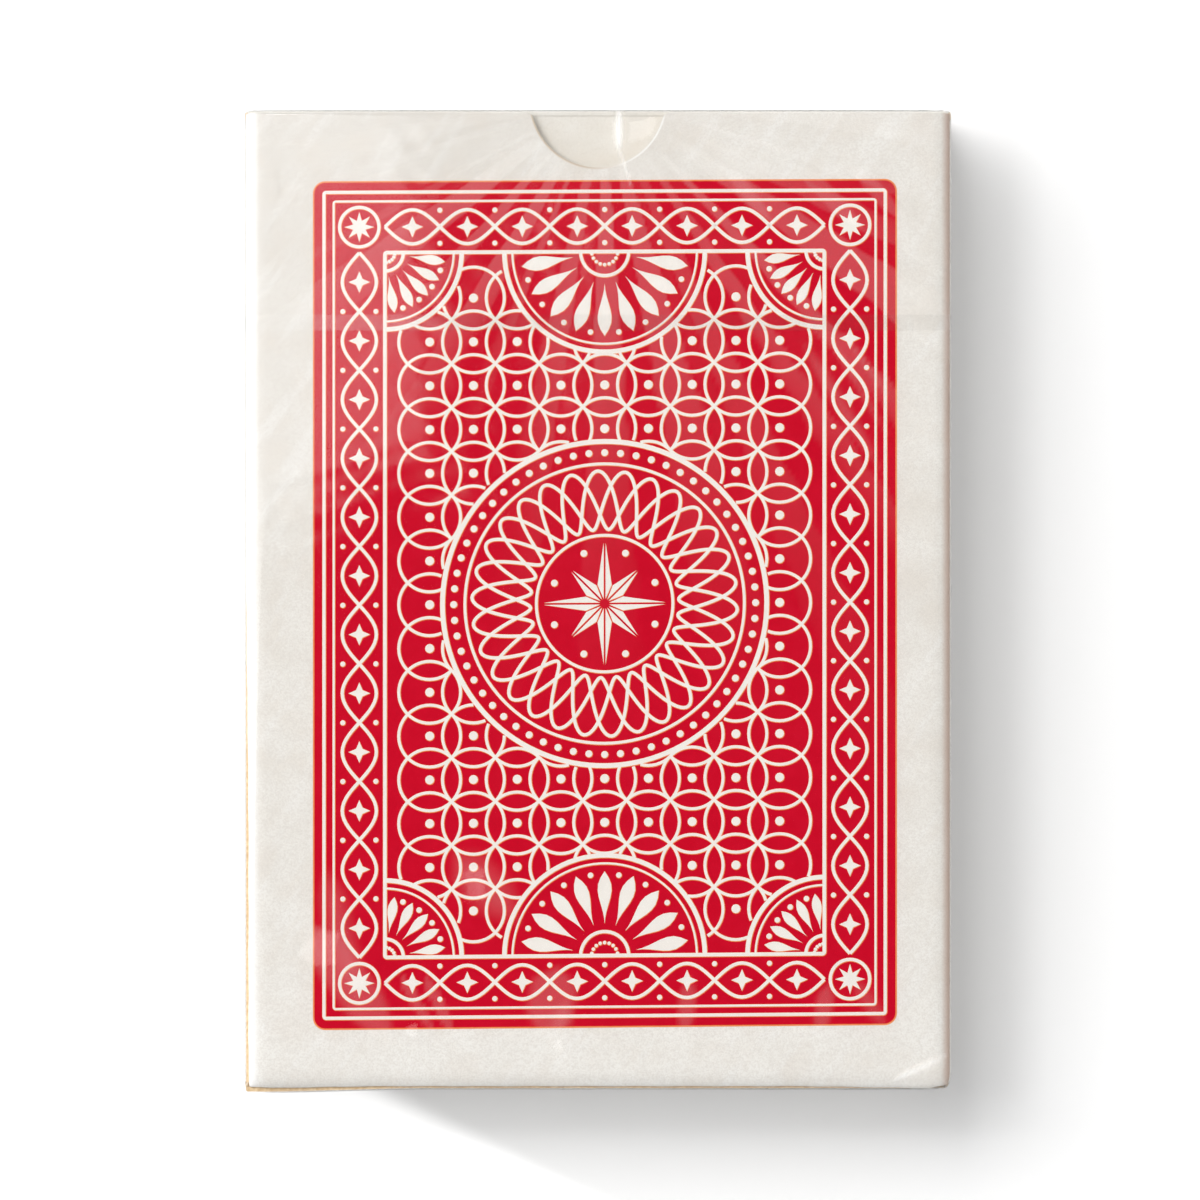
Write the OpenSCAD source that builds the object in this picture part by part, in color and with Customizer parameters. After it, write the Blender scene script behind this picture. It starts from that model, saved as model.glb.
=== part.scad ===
// Deck of poker cards in a paperboard tuck carton, sealed in clear film.
// The carton lies on its back panel: X runs across it, Y up to the lid, Z to the printed front.
// The origin is under the middle of the film, on the surface that the pack lies on.

/* [Cards] */
// Width of a card
card_w = 63.5; // [57:0.1:70]
// Length of a card
card_l = 88.9; // [80:0.1:95]
// Thickness of a card
card_t = 0.29; // [0.25:0.01:0.33]
// Corner radius of a card
card_r = 3.2; // [1.5:0.1:5]
// Air between two cards
card_air = 0.005; // [0.003:0.001:0.01]
// Number of jokers
joker_count = 2; // [1:1:3]

/* [Carton] */
// Thickness of the paperboard
board_t = 0.4; // [0.34:0.02:0.48]
// Outer radius of a glued fold
fold_r = 0.75; // [0.6:0.05:1.2]
// Glue line between two layers of board
glue_t = 0.03; // [0.02:0.01:0.06]
// Gap at a creased edge that opens
crease_gap = 0.03; // [0.02:0.01:0.06]
// Room across the deck, both sides together
side_room = 1.3; // [0.8:0.1:2]
// Room along the deck, both ends together
end_room = 0.55; // [0.4:0.05:1.2]
// Room under the deck
deck_room = 0.05; // [0.03:0.01:0.15]
// How far the raw edges of the outer layers stop below the front face
raw_drop = 0.35; // [0.2:0.05:0.6]
// Depth of the glued lap inside the left side
lap_l = 12; // [8:0.5:15]
// Depth of the inner bottom flap
bottom_flap_l = 13; // [9:0.5:15]
// Reach of the two bottom corner flaps
corner_flap_l = 20; // [12:1:28]
// Side clearance of a flap that lies between the walls
flap_trim = 0.3; // [0.2:0.05:0.6]

/* [Thumb notch] */
// Radius of the notch
notch_r = 6.3; // [4:0.1:9]
// How far the centre of the notch lies past the edge of the front panel
notch_lift = 1.1; // [0.5:0.1:2.5]
// Radius that eases the corners of the notch
notch_corner_r = 0.8; // [0.4:0.1:1.5]

/* [Lid] */
// Length of the tongue that tucks in
tongue_l = 10; // [7:0.5:10.5]
// Corner radius of the tongue
tongue_r = 4; // [2:0.5:6]
// Room between the tongue and the front panel
tongue_room = 0.7; // [0.68:0.02:1]
// Room between the tongue and the deck
tongue_lift = 0.4; // [0.3:0.05:0.8]
// How far the front panel stops short of the lid's face
front_setback = 0.1; // [0.05:0.05:0.3]

/* [Dust flaps] */
// Reach of a dust flap
dust_l = 12; // [8:0.5:12.5]
// Clearance between the dust flaps and the lid
dust_gap = 0.15; // [0.1:0.05:0.4]
// Height of the dust flap's lower corner above the carton's back
dust_low = 0.9; // [0.85:0.05:1.5]
// Rise of the lower edge for each millimetre of reach
dust_rise = 0.42; // [0.42:0.01:0.5]
// Drop of the dust flap's upper corner below the tongue
dust_drop = 2; // [1.8:0.1:3]
// Fall of the upper edge for each millimetre of reach
dust_fall = 0.25; // [0.22:0.01:0.35]
// Corner radius at the dust flap's tip
dust_r = 1; // [0.5:0.1:1.5]

/* [Film] */
// Thickness of the clear film
film_t = 0.04; // [0.03:0.01:0.06]
// Clearance between the film and the carton
film_gap = 0.1; // [0.08:0.01:0.2]
// Distance of the tear line from the top end of the carton
tear_y = 20.6; // [15:0.1:28]
// Width of the tear strip
strip_w = 1.5; // [1:0.1:3]
// Thickness of the tear strip
strip_t = 0.03; // [0.02:0.01:0.05]
// Gap between the two parts of the film
tear_gap = 0.02; // [0.01:0.01:0.05]
// Depth of each end fold as a share of the pack's thickness
fold_share = 0.62; // [0.52:0.02:0.7]

/* [Hidden] */
$fn = 96;
suits = ["spades", "diamonds", "clubs", "hearts"];
ranks = ["ace", "two", "three", "four", "five", "six", "seven", "eight", "nine", "ten",
    "jack", "queen", "king"];
card_names = [for (suit = suits, rank = ranks) str(rank, "_of_", suit)];

card_pitch = card_t + card_air;
deck_t = (len(card_names) + joker_count) * card_pitch;
deck_z = board_t + deck_room;
tongue_z = deck_z + deck_t + tongue_lift;
// The right side is one board thick, the left side two with their glue line
box_w = card_w + side_room + 3 * board_t + glue_t;
// Three layers close the bottom, the lid and the dust flaps the top
box_l = card_l + end_room + 5 * board_t + 2 * glue_t + dust_gap;
box_t = tongue_z + board_t + tongue_room + board_t;
half_w = box_w / 2;
half_l = box_l / 2;
carton_z = film_t + film_gap;

// The layers of the left side and of the bottom, from the outside in
lap_x = -half_w + board_t + glue_t;
inner_flap_y = -half_l + board_t + glue_t;
corner_flap_y = inner_flap_y + board_t + glue_t;
deck_y = corner_flap_y + board_t + end_room / 2 + card_l / 2;
deck_x = (lap_x + board_t + half_w - board_t) / 2;
// The dust flaps' outer face, and where the plain sleeve ends below their creases
dust_y = half_l - board_t - dust_gap;
sleeve_top = dust_y - board_t - crease_gap;
sleeve_bottom = corner_flap_y + fold_r;
front_top = half_l - front_setback;
// The dust flaps' crease, from the lower corner to the upper
dust_top = tongue_z - dust_drop;
overlap = 0.01;

// Lays a profile of X and Z along Y, from y0 to y1.
module along_y(y0, y1) {
    translate([0, y1, 0]) rotate([90, 0, 0]) linear_extrude(y1 - y0) children();
}

// Lays a profile of Y and Z along X, from x0 to x1.
module along_x(x0, x1) {
    translate([x0, 0, 0]) rotate([90, 0, 90]) linear_extrude(x1 - x0) children();
}

// A quarter of a folded board in section; the first quarter opens to +X and +Y.
module fold_section(quarter) {
    rotate(90 * quarter) difference() {
        intersection() {
            circle(fold_r);
            square(fold_r);
        }
        circle(fold_r - board_t);
    }
}

// A rectangle with round corners about the origin.
module round_rect(w, l, r) {
    square([w - 2 * r, l], center = true);
    square([w, l - 2 * r], center = true);
    for (sx = [-1, 1], sy = [-1, 1]) translate([sx * (w / 2 - r), sy * (l / 2 - r)]) circle(r);
}

// The sleeve in section: outer left side, back, right side, front and the lap glued in the left side.
module sleeve_section() {
    translate([-half_w, fold_r]) square([board_t, box_t - raw_drop - fold_r]);
    translate([-half_w + fold_r, fold_r]) fold_section(2);
    translate([-half_w + fold_r, 0]) square([box_w - 2 * fold_r, board_t]);
    translate([half_w - fold_r, fold_r]) fold_section(3);
    translate([half_w - board_t, fold_r]) square([board_t, box_t - 2 * fold_r]);
    translate([half_w - fold_r, box_t - fold_r]) fold_section(0);
    translate([lap_x + fold_r, box_t - board_t]) square([half_w - lap_x - 2 * fold_r, board_t]);
    translate([lap_x + fold_r, box_t - fold_r]) fold_section(1);
    translate([lap_x, box_t - lap_l]) square([board_t, lap_l - fold_r]);
}

// The thumb notch in plan, with eased corners, at the edge of the front panel.
module notch_plan() {
    ease_x = sqrt(pow(notch_r + notch_corner_r, 2) - pow(notch_lift + notch_corner_r, 2));
    touch = notch_r * (notch_lift + notch_corner_r) / (notch_r + notch_corner_r) - notch_lift;
    translate([0, notch_lift]) circle(notch_r);
    difference() {
        translate([-ease_x, -touch]) square([2 * ease_x, touch + overlap]);
        for (s = [-1, 1]) translate([s * ease_x, -notch_corner_r]) circle(notch_corner_r);
    }
}

// The front panel's plain ends beyond the sleeve: down to the bottom fold and up to the notch.
module front_ends() {
    x0 = lap_x + fold_r;
    x1 = half_w - fold_r;
    y0 = inner_flap_y + fold_r;
    translate([0, 0, box_t - board_t]) linear_extrude(board_t) {
        translate([x0, y0]) square([x1 - x0, sleeve_bottom - y0]);
        translate([x0, sleeve_top]) square([x1 - x0, front_top - sleeve_top]);
    }
}

// The back panel's plain ends, with the crease of the lid cut at half a right angle.
module back_ends() {
    y0 = -half_l + fold_r;
    along_x(-half_w + fold_r, half_w - fold_r) {
        translate([y0, 0]) square([sleeve_bottom - y0, board_t]);
        polygon([[sleeve_top, 0], [half_l - crease_gap, 0],
            [half_l - crease_gap - board_t, board_t], [sleeve_top, board_t]]);
    }
}

// The bottom's outer flap, folded up from the back panel to its raw edge.
module outer_bottom_flap() {
    along_x(-half_w + fold_r, half_w - fold_r)
        translate([-half_l + fold_r, fold_r]) fold_section(2);
    along_x(-half_w + flap_trim, half_w - flap_trim)
        translate([-half_l, fold_r]) square([board_t, box_t - raw_drop - fold_r]);
}

// The bottom's inner flap, folded down from the front panel.
module inner_bottom_flap() {
    along_x(lap_x + fold_r, half_w - fold_r) {
        translate([inner_flap_y + fold_r, box_t - fold_r]) fold_section(1);
        translate([inner_flap_y, box_t - bottom_flap_l]) square([board_t, bottom_flap_l - fold_r]);
    }
}

// A corner flap of the bottom, folded in from a side wall.
module corner_flap() {
    flap_z = board_t + flap_trim;
    translate([0, 0, flap_z]) linear_extrude(box_t - 2 * flap_z) {
        translate([half_w - fold_r, corner_flap_y + fold_r]) fold_section(3);
        translate([half_w - corner_flap_l, corner_flap_y]) square([corner_flap_l - fold_r, board_t]);
    }
}

// The top of a side wall, where a dust flap is creased.
module dust_crease() {
    translate([0, 0, dust_low]) linear_extrude(dust_top - dust_low)
        polygon([[half_w, sleeve_top], [half_w, dust_y - crease_gap],
            [half_w - board_t, dust_y - crease_gap - board_t], [half_w - board_t, sleeve_top]]);
}

// One folded and glued sheet of board: the four walls, the lap and the closed bottom.
module carton() {
    color("ivory") translate([0, 0, carton_z]) {
        difference() {
            union() {
                along_y(sleeve_bottom, sleeve_top) sleeve_section();
                front_ends();
            }
            translate([0, front_top, box_t - board_t - tongue_room / 2])
                linear_extrude(board_t + tongue_room) notch_plan();
        }
        back_ends();
        outer_bottom_flap();
        inner_bottom_flap();
        for (side = [0, 1]) mirror([side, 0, 0]) {
            corner_flap();
            dust_crease();
        }
    }
}

// The lid panel, from its crease on the back panel to the round crease of the tongue.
module lid() {
    inner_y = half_l - board_t;
    color("whitesmoke") translate([0, 0, carton_z])
        along_x(-half_w + flap_trim, half_w - flap_trim) {
            polygon([[half_l, 0], [half_l, tongue_z], [inner_y, tongue_z], [inner_y, board_t]]);
            translate([inner_y, tongue_z]) intersection() {
                circle(board_t);
                square(board_t);
            }
        }
}

// The tongue that tucks in behind the front panel.
module tuck_tongue() {
    tongue_w = card_w + side_room - 2 * flap_trim - board_t;
    tongue_end = half_l - board_t - crease_gap;
    color("snow") translate([deck_x, 0, carton_z + tongue_z]) linear_extrude(board_t)
        difference() {
            translate([0, tongue_end - tongue_l / 2]) union() {
                round_rect(tongue_w, tongue_l, tongue_r);
                translate([-tongue_w / 2, 0]) square([tongue_w, tongue_l / 2]);
            }
            translate([-tongue_w, tongue_end]) square([2 * tongue_w, tongue_r]);
        }
}

// A dust flap in elevation: tapered from its crease, with a round tip.
module dust_elevation() {
    tip_low = dust_low + dust_rise * dust_l;
    tip_top = dust_top - dust_fall * dust_l;
    body_l = dust_l - dust_r;
    polygon([[0, dust_low], [body_l, dust_low + dust_rise * body_l],
        [body_l, dust_top - dust_fall * body_l], [0, dust_top]]);
    translate([body_l - overlap, tip_low + dust_r]) square([dust_r + overlap, tip_top - tip_low - 2 * dust_r]);
    for (z = [tip_low + dust_r, tip_top - dust_r]) translate([body_l, z]) circle(dust_r);
}

// The right dust flap, creased on the outer edge of the right side.
module dust_flap() {
    translate([0, 0, carton_z]) intersection() {
        linear_extrude(box_t)
            polygon([[half_w, dust_y], [half_w - board_t, dust_y - board_t],
                [half_w - dust_l, dust_y - board_t], [half_w - dust_l, dust_y]]);
        translate([half_w, 0, 0]) mirror([1, 0, 0])
            along_y(dust_y - 2 * board_t, dust_y + board_t) dust_elevation();
    }
}

module dust_flap_left() {
    color("seashell") mirror([1, 0, 0]) dust_flap();
}

module dust_flap_right() {
    color("seashell") dust_flap();
}

// The film in section, standing off the carton by gap, with the carton's own round edges.
module film_section(gap) {
    translate([0, carton_z + box_t / 2]) round_rect(box_w + 2 * gap, box_t + 2 * gap, fold_r + gap);
}

// A tube of film from y0 to y1.
module film_tube(y0, y1) {
    along_y(y0, y1) difference() {
        film_section(film_gap + film_t);
        film_section(film_gap);
    }
}

// The closed end of the film at +Y: a flat sheet and the two sealed end folds, one over the other.
module film_end() {
    end_y = half_l + film_gap;
    fold_d = fold_share * (box_t + 2 * film_gap);
    edge = half_w - fold_r;
    middle = carton_z + box_t / 2;
    low = carton_z - film_gap;
    along_y(end_y, end_y + film_t) film_section(film_gap + film_t);
    along_y(end_y, end_y + 2 * film_t)
        polygon([[-edge, low], [edge, low], [edge - fold_d, low + fold_d], [-edge + fold_d, low + fold_d]]);
    along_y(end_y, end_y + 3 * film_t) translate([0, 2 * middle]) mirror([0, 1])
        polygon([[-edge, low], [edge, low], [edge - fold_d, low + fold_d], [-edge + fold_d, low + fold_d]]);
}

// The film below the tear line, closed at the bottom.
module film_sleeve() {
    color("azure", 0.4) {
        film_tube(-half_l - film_gap, half_l - tear_y - tear_gap);
        mirror([0, 1, 0]) film_end();
    }
}

// The film above the tear line, with the tear strip stuck inside its lower rim.
module film_cap() {
    strip_y = half_l - tear_y;
    color("lightcyan", 0.4) {
        film_tube(strip_y, half_l + film_gap);
        film_end();
        along_y(strip_y, strip_y + strip_w) difference() {
            film_section(film_gap + film_t / 2);
            film_section(film_gap - strip_t);
        }
    }
}

// A card with round corners, counted up from the bottom of the deck.
module card(index) {
    translate([deck_x, deck_y, carton_z + deck_z + index * card_pitch])
        linear_extrude(card_t) round_rect(card_w, card_l, card_r);
}

// The jokers lie on top of the four suits.
module jokers() {
    color("linen") for (i = [1:joker_count]) card(len(card_names) + i - 1);
}

module suit_card(index) {
    color("white") card(index);
}

carton();
lid();
tuck_tongue();
dust_flap_left();
dust_flap_right();
film_sleeve();
film_cap();
jokers();
for (i = [0:len(card_names) - 1]) suit_card(i);
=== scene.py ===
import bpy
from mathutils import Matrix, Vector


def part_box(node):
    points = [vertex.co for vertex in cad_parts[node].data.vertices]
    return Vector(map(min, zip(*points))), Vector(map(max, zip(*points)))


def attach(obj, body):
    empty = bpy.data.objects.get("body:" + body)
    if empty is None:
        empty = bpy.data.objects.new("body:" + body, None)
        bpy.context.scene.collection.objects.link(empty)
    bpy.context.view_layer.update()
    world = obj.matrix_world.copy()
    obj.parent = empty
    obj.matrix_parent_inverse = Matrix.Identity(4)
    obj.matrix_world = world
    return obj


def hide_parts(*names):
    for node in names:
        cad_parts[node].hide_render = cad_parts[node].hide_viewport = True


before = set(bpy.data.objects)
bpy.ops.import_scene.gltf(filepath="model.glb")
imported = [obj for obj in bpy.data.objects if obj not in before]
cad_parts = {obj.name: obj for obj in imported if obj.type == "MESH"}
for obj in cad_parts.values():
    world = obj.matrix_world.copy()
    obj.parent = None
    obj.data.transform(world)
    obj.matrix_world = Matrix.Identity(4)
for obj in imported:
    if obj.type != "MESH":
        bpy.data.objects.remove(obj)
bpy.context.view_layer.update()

import math

import bpy
import numpy as np

# Deck of cards
# Fifty-two cards and two jokers of coated card stock, printed, varnished and die-cut with round corners.
# They lie loose in the carton, backs to the front panel, and show only when the lid is open.
mm = 0.001
card_back_margin = 4.2 * mm
card_back_corner = 1.5 * mm
lattice_pitch = 2.4 * mm
lattice_line = 0.17


def colour(red, green, blue):
    """A colour as it looks on a screen, 0 to 255, as the linear values that a shader takes."""
    parts = [part / 255 for part in (red, green, blue)]
    linear = [p / 12.92 if p <= 0.04045 else ((p + 0.055) / 1.055) ** 2.4 for p in parts]
    return (*linear, 1.0)


def wire(tree, kind, inputs=None, **settings):
    """A new node with its settings, whose inputs are linked to sockets or set to values."""
    made = tree.nodes.new(kind)
    for name, value in settings.items():
        setattr(made, name, value)
    for key, value in (inputs or {}).items():
        if isinstance(value, bpy.types.NodeSocket):
            tree.links.new(value, made.inputs[key])
        else:
            made.inputs[key].default_value = value
    return made


def calc(operation, *values):
    """One step of arithmetic in the node tree of its sockets."""
    tree = next(value.id_data for value in values if isinstance(value, bpy.types.NodeSocket))
    return wire(tree, "ShaderNodeMath", dict(enumerate(values)), operation=operation).outputs[0]


def tint(share, first, second):
    """A mix of two colours."""
    mixed = wire(share.id_data, "ShaderNodeMix", {0: share, 6: first, 7: second}, data_type="RGBA")
    return mixed.outputs[2]


def grain(place, size, detail=2.0):
    """Soft noise from 0 to 1 whose blotches are about the given size."""
    noise = {"Vector": place, "Scale": 1 / size, "Detail": detail}
    return wire(place.id_data, "ShaderNodeTexNoise", noise).outputs["Fac"]


def ramp(value, low, high):
    """0 below low, 1 above high and smooth between them; low may be the larger."""
    limits = {"Value": value, "From Min": low, "From Max": high}
    return wire(value.id_data, "ShaderNodeMapRange", limits, interpolation_type="SMOOTHSTEP").outputs[0]


def new_finish(name, roughness, shine=0.5):
    """A material with its node tree, its surface shader, and the place and facing of each point."""
    material = bpy.data.materials.new(name)
    material.use_nodes = True
    tree = material.node_tree
    surface = tree.nodes["Principled BSDF"]
    surface.inputs["Roughness"].default_value = roughness
    surface.inputs["Specular IOR Level"].default_value = shine
    where = tree.nodes.new("ShaderNodeTexCoord")
    return material, tree, surface, where.outputs["Object"], where.outputs["Normal"]


def roughen(surface, height, depth, strength):
    """Gives a surface a fine relief."""
    relief = {"Height": height, "Distance": depth, "Strength": strength}
    bump = wire(height.id_data, "ShaderNodeBump", relief)
    height.id_data.links.new(bump.outputs["Normal"], surface.inputs["Normal"])


card_low, card_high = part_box("ace_of_spades")
card_middle = (card_low + card_high) / 2
card_half = (card_high - card_low) / 2

card_stock, tree, surface, place, facing = new_finish("card_stock", 0.38)
from_middle = wire(tree, "ShaderNodeVectorMath", {0: place, 1: card_middle}, operation="SUBTRACT").outputs[0]
along = wire(tree, "ShaderNodeSeparateXYZ", {0: from_middle}).outputs
upward = wire(tree, "ShaderNodeSeparateXYZ", {0: facing}).outputs[2]
past = []
for axis in (0, 1):
    reach = card_half[axis] - card_back_margin - card_back_corner
    over = calc("MAXIMUM", calc("SUBTRACT", calc("ABSOLUTE", along[axis]), reach), 0.0)
    past.append(calc("MULTIPLY", over, over))
inside_back = calc("LESS_THAN", calc("SQRT", calc("ADD", *past)), card_back_corner)
lines = None
for side in (1.0, -1.0):
    diagonal = calc("MULTIPLY_ADD", along[1], side, along[0])
    step = calc("FRACT", calc("DIVIDE", diagonal, lattice_pitch))
    off_line = calc("ABSOLUTE", calc("SUBTRACT", step, 0.5))
    line = calc("GREATER_THAN", off_line, 0.5 - lattice_line / 2)
    lines = line if lines is None else calc("MAXIMUM", lines, line)
inked = calc("MULTIPLY", inside_back, calc("SUBTRACT", 1.0, lines))
inked = calc("MULTIPLY", inked, calc("GREATER_THAN", upward, 0.5))
paper = tint(grain(place, 0.5 * mm), colour(238, 235, 228), colour(247, 245, 240))
cut_and_painted_rim = ramp(calc("ABSOLUTE", upward), 0.7, 0.3)
paper = tint(cut_and_painted_rim, paper, tint(grain(place, 0.08 * mm), colour(214, 208, 196), colour(240, 236, 226)))
tree.links.new(tint(inked, paper, colour(188, 8, 36)), surface.inputs["Base Color"])
roughen(surface, grain(place, 0.35 * mm), 0.01 * mm, 0.25)

suits = ("spades", "diamonds", "clubs", "hearts")
ranks = ("ace", "two", "three", "four", "five", "six", "seven", "eight", "nine", "ten",
         "jack", "queen", "king")
for card in ["jokers"] + [f"{rank}_of_{suit}" for suit in suits for rank in ranks]:
    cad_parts[card].data.materials.clear()
    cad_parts[card].data.materials.append(card_stock)

# Carton
# One sheet of bleached board, coated cream outside, creased, folded and glued; its cuts show the tan core.
# Its section runs lap, front, right side, back and outer left side, and more flaps close the bottom.
carton_low, carton_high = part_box("carton")
low, high = carton_low / mm, carton_high / mm
board_t = 0.4
glue_t = 0.03
fold_r = 0.75
soft_w, soft_h, soft_l = 1.9, 0.9, 1.6
fullness = 2.6
lap_x = low.x + board_t + glue_t
lap_l = 12
raw_z = high.z - soft_h - 0.1
inner_flap_y = low.y + board_t + glue_t
corner_flap_y = inner_flap_y + board_t + glue_t
bottom_flap_l = 13
corner_flap_l = 20
front_top = 45.73
side_top = 44.85
dust_crease = (45.25, 1.04, 15.3)
back_top = 45.8
notch_r, notch_lift, notch_corner = 6.3, 1.1, 0.8
left_top = 43.8
tapered_from = 36.0
lap, left_fold, front_panel, right_fold, right_side, _, back_panel, _, left_side = range(9)
coated, lined, raw = range(3)
fold_steps, side_steps, back_steps = 17, 22, 40
lining_dark, lining_light = colour(214, 208, 196), colour(226, 220, 208)
core_dark, core_light = colour(216, 180, 130), colour(242, 214, 170)
flat_end = 31.0
gape_w = 0.32
corner_ease = 0.25
corner_fill = {lap: -0.8, left_fold: -0.8, right_fold: 0.55, right_side: 0.55}
corner_lift = {left_fold: 0.25, right_fold: 0.7}


def eased(value, start, end):
    """0 before start, 1 after end, smooth between; start may be the larger."""
    t = np.clip((value - start) / (end - start), 0, 1)
    return t * t * (3 - 2 * t)


def fold_points(x, z, w, h, start, end, steps, full):
    """Points round a fold that fills its corner, as x, z and the way each faces."""
    turn = np.radians(np.linspace(start, end, steps))
    c, s = np.cos(turn), np.sin(turn)
    spot_x = x + w * np.sign(c) * np.abs(c) ** (2 / full)
    spot_z = z + h * np.sign(s) * np.abs(s) ** (2 / full)
    out_x = np.sign(c) * np.abs(c) ** (2 - 2 / full) / w
    out_z = np.sign(s) * np.abs(s) ** (2 - 2 / full) / h
    size = np.hypot(out_x, out_z)
    return np.stack((spot_x, spot_z, out_x / size, out_z / size), 1)


def run_points(start, end, steps, out):
    """Points of a straight run of the section, without its ends, and the way they face."""
    t = np.linspace(0, 1, steps + 2)[1:-1, None]
    spots = np.asarray(start) * (1 - t) + np.asarray(end) * t
    return np.concatenate((spots, np.tile(np.asarray(out, float), (steps, 1))), 1)


def sheet_section(inset, left_inset):
    """The sheet's section, drawn in by inset: x, z, way out, and the number of the panel or fold."""
    edge_z = high.z - soft_h
    raw_end = low.z + fold_r + (raw_z - low.z - fold_r) * (side_steps + 1) / side_steps
    left, right = lap_x + soft_w, high.x - soft_w
    top, bottom = high.z - inset, low.z + inset
    notch = np.arange(-7.4, 7.45, 0.2)
    spread = np.concatenate((np.linspace(left, -7.6, 30)[1:], notch, np.linspace(7.6, right, 30)[:-1]))
    front = np.stack((spread, np.full(len(spread), top), np.zeros(len(spread)), np.ones(len(spread))), 1)
    parts = [
        run_points((lap_x + inset, high.z - lap_l), (lap_x + inset, edge_z), 8, (-1, 0)),
        fold_points(left, edge_z, soft_w - inset, soft_h - inset, 180, 90, fold_steps, fullness),
        front,
        fold_points(right, edge_z, soft_w - inset, soft_h - inset, 90, 0, fold_steps, fullness),
        run_points((high.x - inset, edge_z), (high.x - inset, low.z + fold_r), side_steps, (1, 0)),
        fold_points(high.x - fold_r, low.z + fold_r, fold_r - inset, fold_r - inset, 0, -90, 8, 2),
        run_points((high.x - fold_r, bottom), (low.x + fold_r, bottom), back_steps, (0, -1)),
        fold_points(low.x + fold_r, low.z + fold_r, fold_r - left_inset, fold_r - inset, -90, -180, 8, 2),
        run_points((low.x + left_inset, low.z + fold_r), (low.x + left_inset, raw_end), side_steps, (-1, 0))]
    panel = np.concatenate([np.full(len(part), k) for k, part in enumerate(parts)])
    return np.concatenate(parts), panel


def notch_edge(x):
    """Where the front panel ends at each place across it."""
    ease_x = math.sqrt((notch_r + notch_corner) ** 2 - (notch_lift + notch_corner) ** 2)
    touch_x = ease_x * notch_r / (notch_r + notch_corner)
    far = np.abs(x)
    bowl = notch_lift - np.sqrt(np.maximum(notch_r ** 2 - far ** 2, 0))
    lip = -notch_corner + np.sqrt(np.maximum(notch_corner ** 2 - (ease_x - far) ** 2, 0))
    return front_top + np.where(far < touch_x, bowl, np.where(far < ease_x, lip, 0.0))


def left_cover(y):
    """How far the front's left fold reaches over the raw edge of the outer left side."""
    return 0.21 + 0.24 * eased(y, -24.0, 7.0) + 0.02 * np.sin(0.9 * y) + 0.015 * np.sin(2.3 * y + 1)


def end_cover(x):
    """How far the front's bottom fold reaches over the raw edge of the outer bottom flap."""
    ends = 0.3 * eased(x, -18.0, -flat_end) + 0.16 * eased(x, 18.0, flat_end)
    return 0.1 + 0.15 * eased(x, -30.0, -17.0) + ends + 0.015 * np.sin(1.3 * x)


def gape(x, z):
    """How far the outer bottom flap stands away at its left end."""
    return gape_w * eased(-x, 16.0, flat_end) * np.clip((z - low.z) / (raw_z - low.z), 0, 1) ** 2


def piece_of(name, points, faces, edges=()):
    """A new mesh object from points in millimetres."""
    mesh = bpy.data.meshes.new(name)
    mesh.from_pydata((np.asarray(points, float) * mm).tolist(), [tuple(e) for e in edges],
                     [tuple(f) for f in faces])
    made = bpy.data.objects.new(name, mesh)
    bpy.context.scene.collection.objects.link(made)
    return made


def ring_faces(rows, count):
    """Faces between rows of points that each run round a closed ring."""
    faces = []
    for k in range(rows - 1):
        here, there = k * count, (k + 1) * count
        faces += [(here + i, here + (i + 1) % count, there + (i + 1) % count, there + i)
                  for i in range(count)]
    return faces


def loft(base, rows, half, inner_kind, flip=False):
    """Faces and their kinds for a sheet whose rows run along its outer face and back along its inner."""
    ring = 2 * half
    faces = ring_faces(rows, ring)
    kinds = [coated if i < half - 1 else inner_kind if half <= i < ring - 1 else raw for i in range(ring)]
    kinds = kinds * (rows - 1)
    for start in (0, (rows - 1) * ring):
        end = start + ring - 1
        caps = [(start + i, end - i, end - 1 - i, start + i + 1) for i in range(half - 1)]
        faces += caps if start == 0 else [cap[::-1] for cap in caps]
        kinds += [raw] * len(caps)
    way = -1 if flip else 1
    return [tuple(base + i for i in face)[::way] for face in faces], kinds


def board_row(inset, board, bend, top_share, y):
    """One row of the sheet's outer or inner face: round the bottom fold, at y, or on the way to the top."""
    section, panel = sheet_section(inset, board)
    x, z = section[:, 0].copy(), section[:, 1].copy()
    tops = np.full(len(x), side_top)
    sides = (panel == right_side) | (panel == left_side)
    creased = sides & (z > dust_crease[1]) & (z < dust_crease[2])
    tops[creased] = dust_crease[0] - board
    tops[(panel == left_side) & (z >= dust_crease[2])] = left_top
    tops[panel == back_panel] = back_top - board
    tops[panel == front_panel] = notch_edge(x[panel == front_panel])
    fold_share = np.zeros(len(x))
    for fold, middle in ((left_fold, lap_x + soft_w), (right_fold, high.x - soft_w)):
        at = panel == fold
        fold_share[at] = np.abs(x[at] - middle) / (soft_w - inset)
        tops[at] = front_top - corner_ease * (1 - np.sqrt(np.maximum(1 - fold_share[at] ** 2, 0)))
    if top_share is not None:
        at_y = tapered_from + (tops - tapered_from) * top_share
    else:
        reach = soft_l - board + np.where(panel == front_panel, end_cover(x), 0.0)
        for fold, lift in corner_lift.items():
            folded_over = soft_l - board + end_cover(x) * (1 - lift * fold_share)
            reach = np.where(panel == fold, folded_over, reach)
        at_y = y - reach * math.sin(bend) ** (2 / fullness)
        drawn_in = soft_h * (1 - math.cos(bend) ** (2 / fullness))
        for part, fill in corner_fill.items():
            share = fold_share if part in (left_fold, right_fold) else 1.0
            x = np.where(panel == part, x + fill * drawn_in * share, x)
    x = x - np.where(panel == left_fold, left_cover(at_y) * fold_share, 0.0)
    return np.stack((x, at_y, z), 1), panel


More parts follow.
